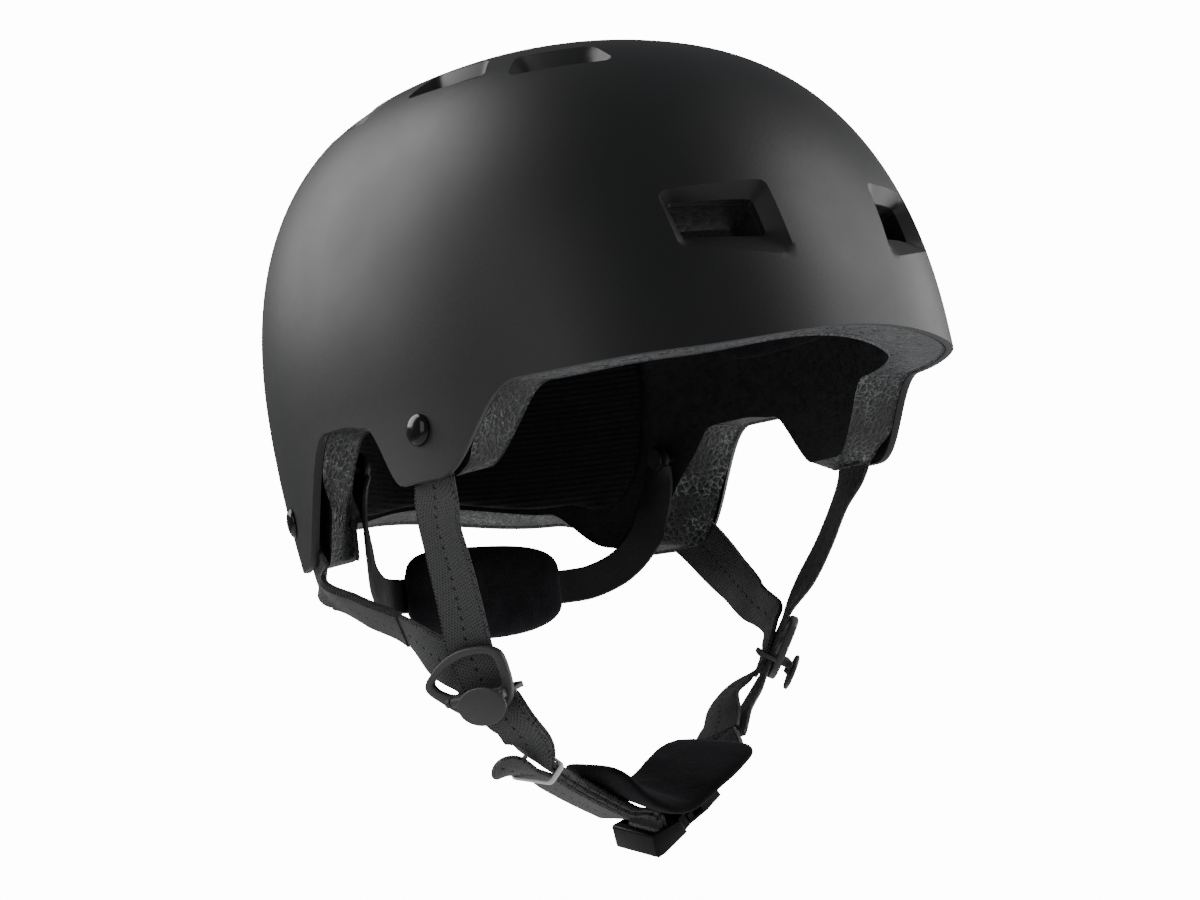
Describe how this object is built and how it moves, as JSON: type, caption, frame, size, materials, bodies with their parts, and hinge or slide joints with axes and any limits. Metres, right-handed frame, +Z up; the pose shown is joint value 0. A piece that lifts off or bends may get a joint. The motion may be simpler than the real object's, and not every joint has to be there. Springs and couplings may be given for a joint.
{
  "type": "skate helmet",
  "caption": "Skate helmet: riveted hard shell with vents over a bead-foam liner, comfort pads, webbing straps with dividers, a padded chin buckle and a tilting nape cradle.",
  "frame": {"origin": "middle of the head opening at the height of the brow, where the head enters", "axes": "+Z up to the crown, -Y to the front, +X to the wearer's left"},
  "size_m": [0.216, 0.2779, 0.2952],
  "materials": {
    "shell": "satin black, injection moulded",
    "foam": "bead foam, dark grey with lighter beads",
    "rivet": "glossy black",
    "pin": "satin dark grey",
    "hook": "hook fabric",
    "padding": "brushed fleece over soft foam",
    "webbing": "woven, chevron pattern",
    "label": "fine woven sleeve",
    "keeper": "white rubber",
    "divider": "satin dark grey",
    "buckle": "satin black",
    "cradle": "satin black"
  },
  "bodies": {
    "helmet": {"outer_shell": "shell", "foam_liner": "foam", "front_rivets": "rivet", "rear_rivets": "rivet", "front_anchors": "pin", "rear_anchors": "pin", "brow_pad": "padding", "crown_pad": "padding", "side_pad_right": "padding", "side_pad_left": "padding", "rear_pad": "padding", "hook_dots": "hook", "front_strap_right": "webbing", "front_strap_left": "webbing", "rear_strap_right": "webbing", "rear_strap_left": "webbing", "strap_label": "label", "divider_frame_right": "divider", "divider_frame_left": "divider", "divider_pins": "pin", "chin_strap_right": "webbing", "strap_tail": "webbing", "front_leg_left": "webbing", "rear_leg_left": "webbing", "buckle_clip": "buckle", "clip_prongs": "buckle", "cradle_pins": "pin"},
    "lock_right": {"divider_lock_right": "divider"},
    "lock_left": {"divider_lock_left": "divider"},
    "keeper": {"strap_keeper": "keeper"},
    "chin_left": {"buckle_socket": "buckle", "chin_strap_left": "webbing", "chin_pad": "padding"},
    "cradle": {"cradle_arm_right": "cradle", "cradle_arm_left": "cradle", "nape_yoke": "cradle", "nape_pad": "padding"}
  },
  "joints": [
    {"name": "lock_right_hinge", "type": "hinge", "parent": "helmet", "child": "lock_right", "pos_m": [-0.08185, -0.00288, -0.097], "axis": [-0.3104, 0.9498, -0.0401], "range_deg": [0, 75]},
    {"name": "lock_left_hinge", "type": "hinge", "parent": "helmet", "child": "lock_left", "pos_m": [0.08025, 0.00725, -0.0924], "axis": [-0.6526, -0.7507, -0.1028], "range_deg": [0, 75]},
    {"name": "keeper_slide", "type": "slide", "parent": "helmet", "child": "keeper", "axis": [0.861, 0.0538, -0.5058], "range_m": [0, 0.006]},
    {"name": "buckle_release", "type": "slide", "parent": "helmet", "child": "chin_left", "axis": [0.7608, -0.1945, 0.6192], "range_m": [0, 0.024], "deforming": ["front_leg_left", "rear_leg_left", "clip_prongs"]},
    {"name": "cradle_tilt", "type": "hinge", "parent": "helmet", "child": "cradle", "pos_m": [0, 0.05745, -0.007], "axis": [1, 0, 0], "range_deg": [-14, 2]}
  ]
}
